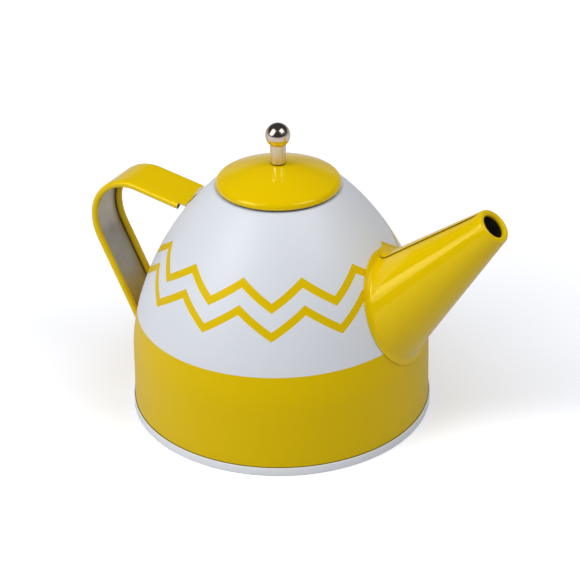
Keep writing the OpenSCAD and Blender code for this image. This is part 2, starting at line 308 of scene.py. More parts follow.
def turned(points, steps, closed=False):
    """A form turned from its outline about the Z axis."""
    bm = bmesh.new()
    geometry = draw(bm, points, closed)
    bmesh.ops.spin(bm, geom=geometry, cent=(0, 0, 0), axis=(0, 0, 1), angle=tau, steps=steps, use_merge=True)
    bmesh.ops.remove_doubles(bm, verts=bm.verts, dist=WELD)
    return bm


def to_object(bm, name, materials):
    bmesh.ops.recalc_face_normals(bm, faces=bm.faces)
    mesh = bpy.data.meshes.new(name)
    bm.to_mesh(mesh)
    bm.free()
    for material in materials:
        mesh.materials.append(material)
    piece = bpy.data.objects.new(name, mesh)
    bpy.context.scene.collection.objects.link(piece)
    return piece


def remove(piece):
    """Removes a helper piece with its mesh."""
    mesh = piece.data
    bpy.data.objects.remove(piece)
    bpy.data.meshes.remove(mesh)


def apply_modifiers(piece):
    finished = bpy.data.meshes.new_from_object(piece.evaluated_get(bpy.context.evaluated_depsgraph_get()))
    rough = piece.data
    piece.modifiers.clear()
    piece.data = finished
    finished.name = piece.name
    bpy.data.meshes.remove(rough)


def thicken(piece, thickness, edges=1, offset=-1):
    """Gives a sheet its thickness. Its inner side takes the next material, and its cut edges a given one."""
    modifier = piece.modifiers.new("Thickness", "SOLIDIFY")
    modifier.thickness = thickness
    modifier.offset = offset
    modifier.use_even_offset = True
    modifier.use_quality_normals = True
    modifier.material_offset = 1
    modifier.material_offset_rim = edges
    apply_modifiers(piece)


def cut(piece, cutter_bm):
    """Cuts closed forms out of a piece."""
    cutter = to_object(cutter_bm, "cutter", [])
    modifier = piece.modifiers.new("Cut", "BOOLEAN")
    modifier.operation = "DIFFERENCE"
    modifier.solver = "EXACT"
    modifier.object = cutter
    apply_modifiers(piece)
    remove(cutter)


def smooth(piece):
    """Shades a piece smooth between its creases."""
    bm = bmesh.new()
    bm.from_mesh(piece.data)
    for face in bm.faces:
        face.smooth = True
    for edge in bm.edges:
        edge.smooth = len(edge.link_faces) == 2 and edge.calc_face_angle() < CREASE
    bm.to_mesh(piece.data)
    bm.free()


def finish_piece(piece, body, slot, *nodes):
    smooth(piece)
    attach(piece, body)
    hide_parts(*nodes)


def strip(points, width, thickness):
    """A folded strip of sheet, drawn by the middle of its thickness in the plane of X and Z."""
    bm = bmesh.new()
    bottom = draw(bm, points)
    bmesh.ops.translate(bm, verts=bm.verts, vec=(0, -width / 2, 0))
    pull(bm, bottom, (0, width, 0))
    piece = to_object(bm, "strip", [])
    thicken(piece, thickness, offset=0)
    return piece


def tab(body, points, z, way, width):
    """A tab that goes on from a sheet, passes through the wall at a height and is bent over inside."""
    inside = wall_point(body, z, body.sheet + TAB_GAP + body.sheet / 2)
    slope = wall_slope(body, z)
    scale = way * TAB_LEG / sqrt(1 + slope * slope)
    # A hair thinner than the sheet that it is part of, so that no two faces share a plane
    return strip(points + [inside, (inside[0] + scale * slope, inside[1] + scale)], width, 0.95 * body.sheet)


def join(piece, others, index):
    """Adds other pieces' meshes to a piece, with one material."""
    bm = bmesh.new()
    bm.from_mesh(piece.data)
    for other in others:
        first = len(bm.faces)
        bm.from_mesh(other.data)
        bm.faces.ensure_lookup_table()
        for face in bm.faces[first:]:
            face.material_index = index
        remove(other)
    bm.to_mesh(piece.data)
    bm.free()


# Materials


def add_node(tree, kind, *values, named=None, **settings):
    """Adds a node with its settings and returns its first output in use.

    The values go to the inputs in use in their order, and other inputs are named. Each is a constant, or an
    output that is linked.
    """
    node = tree.nodes.new("ShaderNode" + kind)
    for name, value in settings.items():
        setattr(node, name, value)
    pairs = list(zip([socket for socket in node.inputs if socket.enabled], values))
    pairs += [(node.inputs[name], value) for name, value in (named or {}).items()]
    for socket, value in pairs:
        if isinstance(value, bpy.types.NodeSocket):
            tree.links.new(value, socket)
        else:
            socket.default_value = value
    return next((output for output in node.outputs if output.enabled), None)


def new_tree(owner, coordinates="Object"):
    """Empties the nodes of a material or a world. Returns what adds a node there, and its coordinates."""
    owner.use_nodes = True
    owner.node_tree.nodes.clear()
    add = partial(add_node, owner.node_tree)
    return add, add("TexCoord").node.outputs[coordinates]


def material_named(name, make, *values):
    """The material of that name. It is made once, and make returns the inputs of its principled shader."""
    material = bpy.data.materials.get(name)
    if not material:
        material = bpy.data.materials.new(name)
        add, place = new_tree(material)
        add("OutputMaterial", add("BsdfPrincipled", named=make(add, place, *values)))
    return material


def opaque(rgb):
    return (*rgb, 1)


def shade(code):
    return opaque(linear(code))


def orange_peel(add, place, cell, height):
    """The slight waviness of sprayed or rolled paint: soft bumps a cell wide."""
    waves = add("TexNoise", place, named={"Scale": 1 / cell, "Detail": 1.0})
    return add("Bump", named={"Height": waves, "Strength": 1.0, "Distance": height})


def specks(add, place, base, code):
    """A few tiny specks of dirt under the lacquer, up to 0.33 mm across and about 15 mm apart."""
    radius, apart = 0.165 * MM, 15 * MM
    distance = add("TexVoronoi", place, named={"Scale": 1 / apart})
    near = add("Math", distance, radius / apart, operation="LESS_THAN")
    return add("Mix", near, base, shade(code), data_type="RGBA")


def printed_tin(add, place, colours, sizes):
    """Lithographed tin plate: flat inks under a roller varnish, so a satin gloss and crisp edges."""
    x, y, height = add("SeparateXYZ", place).node.outputs
    turn = add("Math", y, x, operation="ARCTAN2")
    # The print sits off centre, so it is higher on one side of the pot than on the other
    aside = add("Math", turn, sizes.off_turn, operation="SUBTRACT")
    raised = add("Math", aside, operation="COSINE")
    z = add("Math", raised, -sizes.off_centre, height, operation="MULTIPLY_ADD")
    shifted = add("Math", turn, sizes.peak_turn, operation="SUBTRACT")
    periods = add("Math", shifted, sizes.periods / tau, operation="MULTIPLY")
    wave = add("Math", periods, 0.5, operation="PINGPONG")
    ink = add("Math", z, sizes.band_top, operation="LESS_THAN")
    for peak, valley in (
        (sizes.upper_peak, sizes.upper_valley),
        (sizes.lower_peak, sizes.lower_valley),
    ):
        # A zigzag line falls from a peak to a valley over half a period
        middle = add("Math", wave, 2 * (valley - peak), peak, operation="MULTIPLY_ADD")
        off = add("Math", add("Math", z, middle, operation="SUBTRACT"), operation="ABSOLUTE")
        line = add("Math", off, sizes.stroke / 2, operation="LESS_THAN")
        ink = add("Math", ink, line, operation="MAXIMUM")
    inked = add("Mix", ink, opaque(colours.white), opaque(colours.ink), data_type="RGBA")
    # Painted shade: the print is darkened in a thin line in the seam over the crimped rim
    seam = add("Math", height, RIM_TOP.z + sizes.seam_shadow, operation="LESS_THAN")
    return {
        "Base Color": add("Mix", seam, inked, shade("#86751e"), data_type="RGBA"),
        "Specular Tint": add("Mix", ink, (1, 1, 1, 1), INK_SHINE, data_type="RGBA"),
        "Normal": orange_peel(add, place, 2.5 * MM, 0.004 * MM),
        "Roughness": 0.4,
        "IOR": 1.5,
    }


def yellow_enamel(add, place, colours):
    """Stoved gloss enamel on tin: saturated, with sharp highlights that waver a little with the sheet."""
    # Painted shade: a dark line is painted under the lid's curled edge, where shade falls
    x, y, height = add("SeparateXYZ", place).node.outputs
    radius = add("VectorMath", add("CombineXYZ", x, y), operation="LENGTH")
    near = add("Math", radius, LID_TOP.x + MM, operation="LESS_THAN")
    low = add("MapRange", height, LID_LOW.z + 0.4 * MM, LID_LOW.z + 0.75 * MM, 1, 0)
    curl_shade = add("Math", near, low, operation="MULTIPLY")
    enamel = add("Mix", curl_shade, opaque(colours.yellow), shade("#4a3a14"), data_type="RGBA")
    return {
        "Base Color": specks(add, place, enamel, "#2a2419"),
        "Specular Tint": YELLOW_SHINE,
        "Normal": orange_peel(add, place, 5 * MM, 0.012 * MM),
        "Roughness": 0.06,
        "IOR": 1.6,
    }


def white_enamel(add, place, colours):
    """White enamel on the crimped rim: glossier than the print, and a little uneven from the crimping."""
    return {
        "Base Color": specks(add, place, opaque(colours.rim_white), "#8a8a90"),
        "Normal": orange_peel(add, place, 3 * MM, 0.01 * MM),
        "Roughness": 0.25,
        "IOR": 1.5,
    }


def bare_tin(add, place, colours):
    """Bare tin plate on the inside: a dull grey metal with stains left by soldering and by fingers."""
    stain = add("TexNoise", place, named={"Scale": 1 / (7 * MM), "Detail": 4.0, "Roughness": 0.6})
    scratches = add("TexNoise", place, named={"Scale": 1 / (0.6 * MM), "Detail": 2.0})
    stained = opaque([value * 0.85 for value in colours.tin])
    clean = add("MapRange", stain, 0.34, 0.66)
    return {
        "Base Color": add("Mix", clean, stained, opaque(colours.tin), data_type="RGBA"),
        "Normal": add("Bump", named={"Height": scratches, "Strength": 0.5, "Distance": 0.01 * MM}),
        "Roughness": add("MapRange", stain, 0, 1, 0.5, 0.34),
        "Metallic": 1.0,
    }


def painted_seam_shadow(add, place, dark, light):
    """Painted shadow on a seam: a matt brown edge, so the shade in the joint reads as a dark line."""
    patches = add("TexNoise", place, named={"Scale": 1 / (1.5 * MM), "Detail": 2.0})
    return {
        "Base Color": add("Mix", patches, shade(dark), shade(light), data_type="RGBA"),
        "Roughness": 0.6,
        "IOR": 1.45,
    }


def solder(add, place):
    """Cooled tin solder where the strap was not painted: pale, and too rough for a clear mirror."""
    patches = add("TexNoise", place, named={"Scale": 1 / MM, "Detail": 2.0})
    return {
        "Base Color": add("Mix", patches, shade("#ddd2b4"), shade("#f2ead2"), data_type="RGBA"),
        "Roughness": 0.5,
        "Metallic": 0.3,
    }


def nickel_plate(add, place, colours, stem_top, stem_foot):
    """Bright nickel plate on a turned brass knob: the ball is a warm mirror, its stem duller and yellower."""
    height = add("SeparateXYZ", place).node.outputs["Z"]
    below = add("Math", height, stem_top, operation="LESS_THAN")
    plate = add("Mix", below, opaque(colours.nickel), opaque(colours.stem), data_type="RGBA")
    # Painted shade: the plate is darkened in the corner at the foot of the stem
    corner = add("MapRange", height, stem_foot + 0.15 * MM, stem_foot + 0.6 * MM, 1, 0)
    # Faint marks of turning, 0.35 mm apart
    rings = add("TexNoise", height, 1 / (0.35 * MM), noise_dimensions="1D")
    return {
        "Base Color": add("Mix", corner, plate, shade("#54401c"), data_type="RGBA"),
        "Normal": add("Bump", named={"Height": rings, "Strength": 0.3, "Distance": 0.004 * MM}),
        "Roughness": add("Mix", below, 0.13, 0.3),
        "Metallic": 1.0,
    }


def tin_material(scene):
    return material_named("bare tin", bare_tin, scene.teapot_colours)


def enamelled(scene):
    """Materials of an enamelled sheet: its outer side, then its inner side and cut edges."""
    return [material_named("yellow enamel", yellow_enamel, scene.teapot_colours), tin_material(scene)]


# Pieces


class TEAPOT_OT_body(bpy.types.Operator):
    """Draws the wall, the dome and the neck from one sheet, and cuts its hole and slots"""

    bl_idname = "teapot.body"
    bl_label = "Body"

    def execute(self, context):
        scene = context.scene
        body = scene.teapot_body
        tin = material_named("lithographed tin", printed_tin, scene.teapot_colours, scene.teapot_print)
        piece = to_object(turned(self.outline(body), steps=190), "body", [tin, tin_material(scene)])
        thicken(piece, body.sheet)
        cut(piece, self.cutters(scene))
        finish_piece(piece, "pot", "printed_tin", "body_shell")
        return {"FINISHED"}

    def outline(self, body):
        foot = body.sheet + body.seam_gap
        seat = SHELL_TOP.z
        steps = 48
        last = seat - body.seat_round
        heights = [body.waist_height + (last - body.waist_height) * i / steps for i in range(steps)]
        dome = [(wall_radius(body, z), z) for z in [foot, (foot + body.waist_height) / 2] + heights]
        flat = body.seat_radius - body.seat_round
        shoulder = bend((wall_radius(body, last), last), (body.seat_radius, seat), (flat, seat), steps=4)
        turn = body.neck_bend + body.sheet
        neck = arc((body.mouth_radius + turn, seat - turn), turn, radians(90), radians(180), steps=6)
        return dome + shoulder + neck + [(body.mouth_radius, seat - body.neck_depth)]

    def cutters(self, scene):
        body, spout, handle = scene.teapot_body, scene.teapot_spout, scene.teapot_handle
        bm = bmesh.new()
        radius = body.pour_radius
        hole = spout_place(body, spout) @ Matrix.Translation((0, 0, -spout.reach))
        bmesh.ops.create_cone(
            bm, cap_ends=True, segments=64, radius1=radius, radius2=radius, depth=2 * radius, matrix=hole
        )
        slots = [(z, spout.tab_width, 1) for z in spout_foot_heights(body, spout)]
        path = HandlePath(body, handle)
        slots += [(handle.top_height, handle.pitch, -1), (path.foot_height, handle.tab_width, -1)]
        for z, width, side in slots:
            slope = wall_slope(body, z)
            tilt = Matrix.Rotation(side * Vector((1, slope)).angle_signed(Vector((1, 0))), 4, "Y")
            place = Matrix.Translation((side * wall_radius(body, z), 0, z)) @ tilt
            through = 8 * body.sheet
            size = (through, width + 2 * body.slot_gap, body.sheet + 2 * body.slot_gap, 1)
            bmesh.ops.create_cube(bm, size=1, matrix=place @ Matrix.Diagonal(size))
        return bm


class TEAPOT_OT_base(bpy.types.Operator):
    """Presses the base sheet and crimps its rim round the foot of the wall"""

    bl_idname = "teapot.base"
    bl_label = "Base"

    def execute(self, context):
        scene = context.scene
        body = scene.teapot_body
        sheet = body.sheet
        rim, top = RIM_TOP.x, RIM_TOP.z
        fold = body.foot_radius - sheet - body.seam_gap
        soft = body.rim_fold
        outline = (
            [(0, body.base_recess), (fold - sheet, body.base_recess), (fold - sheet, 0)]
            + arc((rim - body.rim_round, body.rim_round), body.rim_round, radians(-90), 0, steps=5)
            + arc((rim - soft, top - soft), soft, 0, radians(90), steps=4)
            + arc((rim - sheet + soft, top - soft), soft, radians(90), radians(180), steps=4)
            + [(rim - sheet, sheet), (fold, sheet), (fold, body.base_recess + sheet)]
            + [(0, body.base_recess + sheet)]
        )
        enamel = material_named("white enamel", white_enamel, scene.teapot_colours)
        piece = to_object(turned(outline, steps=190), "base", [enamel])
        finish_piece(piece, "pot", "rim_paint", "base_plate")
        return {"FINISHED"}


def spout_place(body, spout):
    """Places a form whose axis is +Z and whose tip is the origin on the spout. Its +X side faces down."""
    tip = Vector((wall_radius(body, spout.root_height), 0, spout.root_height))
    tip += spout.reach * Vector((cos(spout.rise), 0, sin(spout.rise)))
    return Matrix.Translation(tip) @ Matrix.Rotation(radians(90) - spout.rise, 4, "Y")


def spout_foot_heights(body, spout):
    """Heights at which the upper and the lower edge of the spout meet the wall."""
    place = spout_place(body, spout)
    middle = body.sheet / 2

    def point(back, side):
        radius = spout.tip_radius + back * tan(spout.flare) - middle
        return place @ Vector((side * radius, 0, -back))

    heights = []
    for side in (-1, 1):
        back = halve(lambda b: outside_wall(body, point(b, side), 0) > 0, 0, 2 * spout.reach)
        heights.append(point(back, side).z)
    return heights


class TEAPOT_OT_spout(bpy.types.Operator):
    """Rolls a sheet into the spout, with a lap seam on top, a curled tip and a lip that lies on the wall"""

    bl_idname = "teapot.spout"
    bl_label = "Spout"

    # Rows of faces from the lip to the end of the curl, and the turn of one column
    foot_rows = 14
    cone_rows = 12
    curl_rows = 14
    column_turn = radians(3)
    # Length of the foot, where the rows lie closer together
    foot = 5 * MM
    curl_end = radians(200)
    # The corner of the outer layer is cut off along a slant, over this turn before the seam
    cut_turn = radians(13)
    # The inner layer is sunk under the outer one, and comes up level with it over the turn after the lap
    level_turn = radians(36)
    # It is level at the tip and over the start of the lip too, and sinks over these distances from there
    tip_ease = 4 * MM
    lip_start = 1.2 * MM
    lip_ease = 1.8 * MM
    # Faces of the cut edge that are nearer to the wall than this belong to the lip
    near_wall = 0.5 * MM

    def execute(self, context):
        scene = context.scene
        body, spout = scene.teapot_body, scene.teapot_spout
        place = spout_place(body, spout)
        half_turn = pi + spout.lap_turn / 2
        columns = round(2 * half_turn / self.column_turn)
        rows = self.foot_rows + self.cone_rows + self.curl_rows
        bm = bmesh.new()
        sheet = bmesh.ops.create_grid(bm, x_segments=columns, y_segments=rows, size=0.5)["verts"]
        turns = [-half_turn + 2 * half_turn * i / columns for i in range(columns + 1)]
        lines = [self.line(body, spout, place, turn, half_turn) for turn in turns]
        cell = {}
        for vert in sheet:
            column = round((vert.co.x + 0.5) * columns)
            row = round((vert.co.y + 0.5) * rows)
            radius, height = lines[column][row]
            around = self.around(spout, turns[column])
            vert.co = place @ Vector((radius * cos(around), radius * sin(around), height))
            cell[vert] = (column, row)
        self.trim_lower_layer(bm, cell, spout)
        bmesh.ops.remove_doubles(bm, verts=bm.verts, dist=WELD)
        # Painted shadow: a matt brown for the seam's cut edge, where shade falls at the step
        shadow = material_named("seam dust", painted_seam_shadow, "#6e5812", "#967a18")
        piece = to_object(bm, "spout", enamelled(scene) + [shadow])
        thicken(piece, body.sheet, 2)
        # The edge of the lip is painted, and the cut edge of the sheet along the seam is painted dark as the
        # shadow at the lap's step
        for face in piece.data.polygons:
            if face.material_index == 2 and outside_wall(body, face.center, 0) < self.near_wall:
                face.material_index = 0
        top, low = spout_foot_heights(body, spout)
        tabs = [
            tab(body, [wall_point(body, z, -body.sheet)], z, way, spout.tab_width)
            for z, way in ((low, -1), (top, 1))
        ]
        join(piece, tabs, 1)
        finish_piece(piece, "pot", "yellow_enamel", "spout")
        return {"FINISHED"}

    def around(self, spout, turn):
        """Where a column lies about the axis. The seam lies in front of the top, which is at half a turn."""
        return turn + (spout.seam_turn - spout.lap_turn / 2)

    def line(self, body, spout, place, turn, half_turn):
        """Points (radius, height) of the sheet's outer face along one line, from its lip to its curl."""
        around = self.around(spout, turn)
        lift = body.sheet + body.seam_gap
        slope = tan(spout.flare)

        def world(radius, back):
            return place @ Vector((radius * cos(around), radius * sin(around), -back))

        def meet(radius_at):
            return halve(lambda b: outside_wall(body, world(radius_at(b), b), lift) > 0, 0, 2 * spout.reach)

        foot_back = meet(lambda b: spout.tip_radius + b * slope)
        foot_radius = spout.tip_radius + foot_back * slope
        step = 0.2 * MM
        fall = (meet(lambda b: foot_radius + step) - foot_back) / step
        out = 1 / sqrt(1 + fall * fall)

        def lip(distance):
            radius = foot_radius + distance * out
            return radius, -meet(lambda b: radius)

        bend_back = foot_back - spout.lip_bend * cos(spout.flare)
        cone_foot = (spout.tip_radius + bend_back * slope, -bend_back)
        curve = bend(lip(spout.lip_bend), (foot_radius, -foot_back), cone_foot, steps=8)
        curl_centre = (spout.tip_radius - spout.curl_radius, 0)
        curl = arc(curl_centre, spout.curl_radius, spout.flare, self.curl_end, self.curl_rows)
        down = cos(around)
        end_width = spout.lip_bottom if down > 0 else spout.lip_top
        width = spout.lip_width + (end_width - spout.lip_width) * down * down
        path = [lip(width)] + curve + [curl[0]]
        total = line_length(path)
        corner = max(0, 1 - (half_turn - turn) / self.cut_turn) * spout.corner_cut
        places = [self.foot * i / self.foot_rows for i in range(self.foot_rows)]
        places += [self.foot + (total - self.foot) * i / self.cone_rows for i in range(self.cone_rows)]
        points = [along(path, corner + p * (total - corner) / total) for p in places] + curl
        sink = 1 - smooth_share((turn + half_turn - spout.lap_turn) / self.level_turn)
        sunk = []
        for (radius, height), place_along in zip(points, places + [total] * len(curl)):
            from_tip = smooth_share((total - place_along) / self.tip_ease)
            from_lip = smooth_share((place_along - self.lip_start) / self.lip_ease)
            sunk.append((radius - sink * from_tip * from_lip * (body.sheet + spout.lap_gap), height))
        return sunk

    def trim_lower_layer(self, bm, cell, spout):
        """Cuts the hidden layer back where the two layers would share the curl and the lip."""
        # In the hidden layer's columns the faces past curl_start go, and in half of them those up to lip_end
        hidden = round(spout.lap_turn / self.column_turn)
        curl_start = self.foot_rows + self.cone_rows - 4
        lip_end = 9
        doomed = []
        for face in bm.faces:
            column = max(cell[v][0] for v in face.verts)
            row = max(cell[v][1] for v in face.verts)
            if (column <= hidden and row > curl_start) or (column <= hidden // 2 and row <= lip_end):
                doomed.append(face)
        bmesh.ops.delete(bm, geom=doomed, context="FACES")


def smooth_share(share):
    """Eases from 0 to 1."""
    share = max(0, min(1, share))
    return share * share * (3 - 2 * share)


class HandlePath:
    """The handle's line in the plane of X and Z, on the side of -X, from the dome down to the wall."""

    def __init__(self, body, handle):
        self.handle = handle
        self.start = Vector((-wall_radius(body, handle.top_height), 0, handle.top_height))
        self.bend_from = self.start + handle.run * self.heading(handle.rise)
        self.bend_centre = self.bend_from - handle.bend_radius * self.outside(handle.rise)
        ease = handle.rise - handle.bend_turn
        ease_from = self.bend_centre + handle.bend_radius * self.outside(ease)
        self.ease_centre = ease_from - handle.ease_radius * self.outside(ease)
        self.leg = ease - handle.ease_turn
        self.leg_from = self.ease_centre + handle.ease_radius * self.outside(self.leg)
        self.leg_run = (self.leg_from.x + body.foot_radius) / -self.heading(self.leg).x
        self.leg_back = (2 * handle.curl_radius * -sin(self.leg) + handle.end_gap) / -cos(self.leg)
        self.foot_height = self.low(0).z

    @staticmethod
    def heading(turn):
        return Vector((-cos(turn), 0, sin(turn)))

    @staticmethod
    def outside(turn):
        return Vector((sin(turn), 0, cos(turn)))

    def top(self, out):
        return self.start + out * self.heading(self.handle.rise)

    def low(self, back):
        return self.leg_from + (self.leg_run - back) * self.heading(self.leg)


class TEAPOT_OT_handle(bpy.types.Operator):
    """Rolls both edges of a strap inwards, bends it and flattens its ends"""

    bl_idname = "teapot.handle"
    bl_label = "Handle"

    # Rows of faces that would meet stay this far apart
    hair = 0.03 * MM
    # The tabs start this far from the wall, inside the strap
    tab_start = 1.5 * MM
    # The wall's face is looked for this far behind and this far before a point of the strap's end
    search = 4 * MM, 8 * MM

    def execute(self, context):
        scene = context.scene
        body, handle = scene.teapot_body, scene.teapot_handle
        path = HandlePath(body, handle)
        bm = bmesh.new()
        start = path.top(handle.curl_back)
        section, flat = self.section(bm, body, handle, start, path.outside(handle.rise))
        straight = pull(bm, section, path.bend_from - start)
        bent = self.swing(bm, straight, path.bend_centre, handle.bend_turn, steps=28)
        eased = self.swing(bm, bent, path.ease_centre, handle.ease_turn, steps=10)
        end = pull(bm, eased, path.low(path.leg_back) - path.leg_from)
        # The sheet between the rolled edges goes on to the wall at both ends. At the upper end its paint
        # stops along a slant, then comes a wedge of solder, and beside the dome a strip is painted dark as
        # shadow.
        away = path.heading(handle.rise)
        ends = flat
        for index, reach, material in ((0, handle.curl_back, 0), (1, handle.shadow_edge, 3)):
            ends = pull(bm, ends, -handle.curl_back * away)
            self.fit_to_wall(body, handle.end_gap + (2 - index) * self.hair, ends, away)
            self.fit_to_slant(handle, path, index * self.hair, reach, ends)
            self.colour_strip(ends, material)
        ends = pull(bm, ends, -handle.curl_back * away)
        self.fit_to_wall(body, handle.end_gap, ends, away)
        self.colour_strip(ends, 2)
        flat_low = [edge for edge in edges_of(end) if self.is_flat(edge, handle)]
        ends = pull(bm, flat_low, path.low(0) - path.low(path.leg_back))
        self.fit_to_wall(body, handle.end_gap, ends, -path.heading(path.leg))
        strap_shadow = material_named("strap_shadow", painted_seam_shadow, "#3a2a18", "#5e4a2e")
        piece = to_object(bm, "handle", enamelled(scene) + [strap_shadow, material_named("solder", solder)])
        thicken(piece, body.sheet)
        tabs = []
        for place, height, way in ((path.top, handle.top_height, -1), (path.low, path.foot_height, 1)):
            line = [(-point.x, point.z) for point in (place(self.tab_start), place(0))]
            tabs.append(tab(body, line, height, way, handle.tab_width))
            tabs[-1].data.transform(Matrix.Diagonal((-1, 1, 1, 1)))
            tabs[-1].data.flip_normals()
        join(piece, tabs, 1)
        finish_piece(piece, "pot", "yellow_enamel", "handle")
        return {"FINISHED"}

    def section(self, bm, body, handle, start, outside):
        """Draws the outer face of the rolled strap across its path, and returns it and its flat edges."""
        out = body.sheet / 2
        centre = (handle.pitch / 2, out - handle.curl_radius)
        roll = arc(centre, handle.curl_radius, radians(90) - handle.curl_turn, radians(90), steps=18)
        half = roll + [(handle.pitch / 2 * share, out) for share in (0.66, 0.33)]
        across = half + [(0, out)] + [(-y, n) for y, n in reversed(half)]
        verts = [bm.verts.new(start + outside * n + Vector((0, y, 0))) for y, n in across]
        edges = [bm.edges.new(pair) for pair in zip(verts, verts[1:])]
        return verts + edges, [e for e in edges if self.is_flat(e, handle)]

    def is_flat(self, edge, handle):
        """Whether an edge of the section lies on the flat sheet between the rolled edges."""
        reach = handle.pitch / 2 + WELD
        level = abs(edge.verts[0].co.x - edge.verts[1].co.x) + abs(edge.verts[0].co.z - edge.verts[1].co.z)
        return level < WELD and all(abs(v.co.y) < reach for v in edge.verts)

    def swing(self, bm, geometry, centre, turn, steps):
        """Turns a line of edges round a centre into faces, and returns the last line."""
        options = {"axis": (0, -1, 0), "angle": turn, "steps": steps, "use_merge": False}
        return bmesh.ops.spin(bm, geom=geometry, cent=centre, **options)["geom_last"]

    def fit_to_slant(self, handle, path, short, reach, geometry):
        """Moves points of the upper end out, by the reach at most, to just short of its paint's slant."""
        away = path.heading(handle.rise)
        # The slant ends before the rolled edges do
        last = 0.95 * handle.curl_back
        for vert in verts_of(geometry):
            line = min(handle.paint_end + handle.paint_slant * vert.co.y, last) - short
            vert.co += max(0, min(reach, line - (vert.co - path.start).dot(away))) * away

    def colour_strip(self, ends, index):
        """Gives the faces that were pulled last another material."""
        for edge in edges_of(ends):
            for face in edge.link_faces:
                face.material_index = index

    def fit_to_wall(self, body, gap, geometry, away):
        """Moves the points of a flat end along the strap until they stand off the wall by a gap."""
        behind, before = self.search
        for vert in verts_of(geometry):
            start = vert.co - behind * away
            distance = halve(lambda d: outside_wall(body, start + d * away, gap) < 0, 0, behind + before)
            vert.co = start + distance * away


class TEAPOT_OT_lid(bpy.types.Operator):
    """Presses the lid, curls its edge and fixes the collar under it"""

    bl_idname = "teapot.lid"
    bl_label = "Lid"

    def execute(self, context):
        scene = context.scene
        body, lid = scene.teapot_body, scene.teapot_lid
        hole = lid.shank_radius + body.seam_gap
        steps = 28
        edge = lid_edge(lid)
        dome = [lid_point(lid, hole + (edge[0] - hole) * i / steps) for i in range(steps)]
        shoulder = arc(lid_round_centre(lid, lid.shoulder), lid.shoulder, lid.shoulder_start, 0, steps=10)
        curl = arc(lid_round_centre(lid, lid.lid_curl), lid.lid_curl, 0, lid.curl_end, steps=15)
        cover = to_object(turned(dome + shoulder + curl[1:], steps=158), "lid", enamelled(scene))
        thicken(cover, body.sheet)
        finish_piece(cover, "lid", "yellow_enamel", "lid_cover")
        self.collar(scene, body, lid)
        return {"FINISHED"}

    def collar(self, scene, body, lid):
        outer, low = COLLAR_TOP.x, COLLAR_LOW.z
        inner = outer - lid.flange_width
        sheet = body.sheet
        top = sheet + body.seam_gap
        flange_end = lid_under(lid, outer - 2 * sheet, top)
        outline = bend(flange_end, lid_under(lid, outer, top), (outer, low + 6 * sheet), steps=5)
        outline += [(outer, low), (outer - sheet, low)]
        outline += [lid_under(lid, outer - sheet, top + sheet), lid_under(lid, inner, top + sheet)]
        outline += [lid_under(lid, inner, top)]
        piece = to_object(turned(outline, steps=128, closed=True), "collar", [tin_material(scene)])
        finish_piece(piece, "lid", "bare_tin", "lid_collar")


def lid_round_centre(lid, radius):
    """Centre of a rounding at the lid's edge."""
    return LID_TOP.x - radius, LID_LOW.z + lid.lid_curl


def lid_edge(lid):
    """Where the lid's dome meets its shoulder."""
    x, z = lid_round_centre(lid, lid.shoulder)
    return x + lid.shoulder * cos(lid.shoulder_start), z + lid.shoulder * sin(lid.shoulder_start)


def lid_point(lid, radius):
    """A point of the lid's upper face."""
    edge, low = lid_edge(lid)
    return radius, low + (LID_TOP.z - low) * (1 - (radius / edge) ** lid.lid_power)


def lid_under(lid, radius, depth):
    """A point that lies a depth below the lid's upper face."""
    step = 0.05 * MM
    slope = (lid_point(lid, radius + step)[1] - lid_point(lid, radius)[1]) / step
    return radius, lid_point(lid, radius)[1] - depth * sqrt(1 + slope * slope)


class TEAPOT_OT_knob(bpy.types.Operator):
    """Turns the ball, its stem and its riveted shank, with the washer under the lid"""

    bl_idname = "teapot.knob"
    bl_label = "Knob"

    def execute(self, context):
        scene = context.scene
        body, lid = scene.teapot_body, scene.teapot_lid
        ball = (0, KNOB_TOP.z - lid.ball_radius)
        foot = lid_point(lid, lid.shank_radius)[1] + body.seam_gap
        stem, shank, rivet = lid.stem_radius, lid.shank_radius, lid.rivet_radius
        neck_drop = sqrt(lid.ball_radius**2 - stem**2)
        low_turn = Vector((1, 0)).angle(Vector((stem, -neck_drop)))
        rivet_top = KNOB_LOW.z + lid.rivet_height
        outline = arc(ball, lid.ball_radius, radians(90), -low_turn, steps=30)
        outline += bend((stem, foot + lid.stem_round), (stem, foot), (stem - lid.stem_round, foot), steps=4)
        outline += [(shank, foot), (shank, rivet_top), (rivet, rivet_top)]
        rivet_edge = (rivet, rivet_top - lid.rivet_height / 2)
        outline += bend(rivet_edge, (rivet, KNOB_LOW.z), (0, KNOB_LOW.z), steps=6)
        stem_top = ball[1] - neck_drop
        nickel = material_named("nickel plate", nickel_plate, scene.teapot_colours, stem_top, foot)
        piece = to_object(turned(outline, steps=96), "knob_ball", [nickel])
        finish_piece(piece, "lid", "plated_knob", "knob")
        washer = frame["nodes"]["knob_washer"]
        washer.data.materials.clear()
        washer.data.materials.append(tin_material(scene))
        return {"FINISHED"}


# Stage


